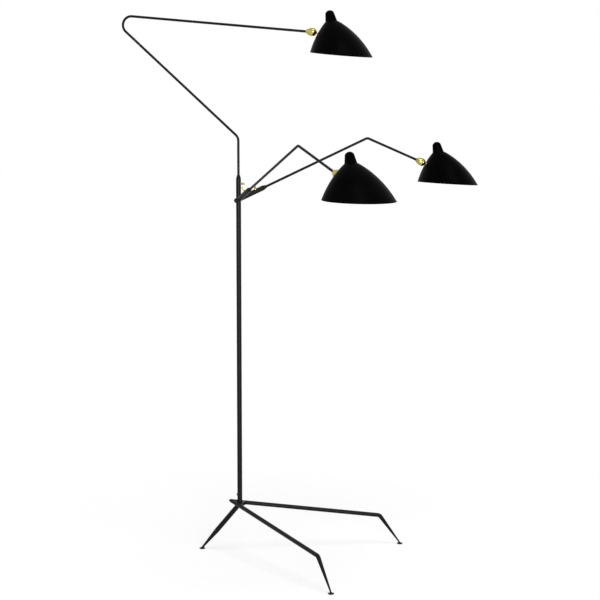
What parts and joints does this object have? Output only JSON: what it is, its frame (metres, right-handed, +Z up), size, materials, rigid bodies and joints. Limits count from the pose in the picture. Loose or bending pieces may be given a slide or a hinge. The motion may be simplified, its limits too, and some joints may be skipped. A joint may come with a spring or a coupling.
{
  "type": "floor lamp",
  "caption": "Free-standing floor lamp: a slim pole on a three-legged tube stand, bent arms that turn in sleeves, and oblique dome shades on brass ball swivels.",
  "frame": {"origin": "on the floor, below the middle of the whole lamp", "axes": "+Z up; +Y away from the viewer of the picture; +X to the right in it"},
  "size_m": [1.3779, 1.239, 2.0781],
  "materials": {
    "black_enamel": "satin black enamel on steel",
    "shade_enamel": "satin black enamel inside and out, on spun aluminium",
    "brass": "polished brass",
    "bright_steel": "turned steel",
    "holder_plastic": "moulded black plastic",
    "ring_plastic": "moulded white plastic",
    "lamp_glass": "opal glass",
    "rubber": "matte black rubber"
  },
  "bodies": {
    "stand": {"pole": "black_enamel", "rear_leg": "black_enamel", "front_leg": "black_enamel", "side_leg": "black_enamel", "leg_web": "black_enamel", "cord_grommet": "rubber", "front_foot": "black_enamel", "side_foot": "black_enamel", "rear_foot": "black_enamel", "foot_pads": "rubber", "hub": "black_enamel", "upper_sleeve": "black_enamel", "upper_bush": "black_enamel", "front_sleeve": "black_enamel", "front_bush": "black_enamel", "side_sleeve": "black_enamel", "side_bush": "black_enamel"},
    "upper_arm": {"upper_rod": "black_enamel", "upper_rod_collar": "bright_steel", "upper_cup": "brass", "upper_tension_screw": "bright_steel"},
    "upper_swivel": {"upper_ball_stud": "bright_steel", "upper_stud_nut": "bright_steel"},
    "upper_head": {"upper_shade": "shade_enamel", "upper_stud_washer": "bright_steel", "upper_stud_spacer": "bright_steel", "upper_lamp_holder": "holder_plastic", "upper_holder_ring": "ring_plastic", "upper_lamp_cap": "bright_steel", "upper_lamp_glass": "lamp_glass"},
    "upper_screw": {"upper_thumbscrew": "brass"},
    "front_arm": {"front_rod": "black_enamel", "front_rod_collar": "bright_steel", "front_cup": "brass", "front_tension_screw": "bright_steel"},
    "front_swivel": {"front_ball_stud": "bright_steel", "front_stud_nut": "bright_steel"},
    "front_head": {"front_shade": "shade_enamel", "front_stud_washer": "bright_steel", "front_stud_spacer": "bright_steel", "front_lamp_holder": "holder_plastic", "front_holder_ring": "ring_plastic", "front_lamp_cap": "bright_steel", "front_lamp_glass": "lamp_glass"},
    "front_screw": {"front_thumbscrew": "brass"},
    "side_arm": {"side_rod": "black_enamel", "side_rod_collar": "bright_steel", "side_cup": "brass", "side_tension_screw": "bright_steel"},
    "side_swivel": {"side_ball_stud": "bright_steel", "side_stud_nut": "bright_steel"},
    "side_head": {"side_shade": "shade_enamel", "side_stud_washer": "bright_steel", "side_stud_spacer": "bright_steel", "side_lamp_holder": "holder_plastic", "side_holder_ring": "ring_plastic", "side_lamp_cap": "bright_steel", "side_lamp_glass": "lamp_glass"},
    "side_screw": {"side_thumbscrew": "brass"}
  },
  "joints": [
    {"name": "upper_arm_turn", "type": "hinge", "parent": "stand", "child": "upper_arm", "pos_m": [-0.24257, 0.25032, 1.414], "axis": [0, 0, 1], "range_deg": [-170, 170]},
    {"name": "upper_shade_tilt", "type": "hinge", "parent": "upper_arm", "child": "upper_swivel", "pos_m": [0.04432, 0.1825, 1.99798], "axis": [-0.1564, -0.9877, 0], "range_deg": [-25, 25]},
    {"name": "upper_shade_turn", "type": "hinge", "parent": "upper_swivel", "child": "upper_head", "pos_m": [0.04432, 0.1825, 1.99798], "axis": [0.9269, -0.1468, -0.3453], "range_deg": [-45, 45]},
    {"name": "upper_thumbscrew_turn", "type": "hinge", "parent": "stand", "child": "upper_screw", "pos_m": [-0.24257, 0.25032, 1.434], "axis": [0.891, -0.454, 0], "range_deg": [0, 180]},
    {"name": "front_arm_turn", "type": "hinge", "parent": "stand", "child": "front_arm", "pos_m": [-0.22249, 0.2086, 1.39289], "axis": [0.4015, -0.8343, 0.3778], "range_deg": [-60, 60]},
    {"name": "front_shade_tilt", "type": "hinge", "parent": "front_arm", "child": "front_swivel", "pos_m": [0.1208, -0.41691, 1.49022], "axis": [-0.7615, -0.6481, 0], "range_deg": [-25, 25]},
    {"name": "front_shade_turn", "type": "hinge", "parent": "front_swivel", "child": "front_head", "pos_m": [0.1208, -0.41691, 1.49022], "axis": [0.6146, -0.7222, -0.3173], "range_deg": [-45, 45]},
    {"name": "front_thumbscrew_turn", "type": "hinge", "parent": "stand", "child": "front_screw", "pos_m": [-0.21246, 0.18775, 1.40234], "axis": [-0.5802, 0.0875, 0.8098], "range_deg": [0, 180]},
    {"name": "side_arm_turn", "type": "hinge", "parent": "stand", "child": "side_arm", "pos_m": [-0.19881, 0.26328, 1.39442], "axis": [0.8752, 0.2593, 0.4083], "range_deg": [-60, 60]},
    {"name": "side_shade_tilt", "type": "hinge", "parent": "side_arm", "child": "side_swivel", "pos_m": [0.47251, 0.45981, 1.50703], "axis": [0.2622, -0.965, 0], "range_deg": [-25, 25]},
    {"name": "side_shade_turn", "type": "hinge", "parent": "side_swivel", "child": "side_head", "pos_m": [0.47251, 0.45981, 1.50703], "axis": [0.9124, 0.2479, -0.3256], "range_deg": [-45, 45]},
    {"name": "side_thumbscrew_turn", "type": "hinge", "parent": "stand", "child": "side_screw", "pos_m": [-0.17693, 0.26976, 1.40463], "axis": [-0.1578, -0.645, 0.7478], "range_deg": [0, 180]}
  ]
}
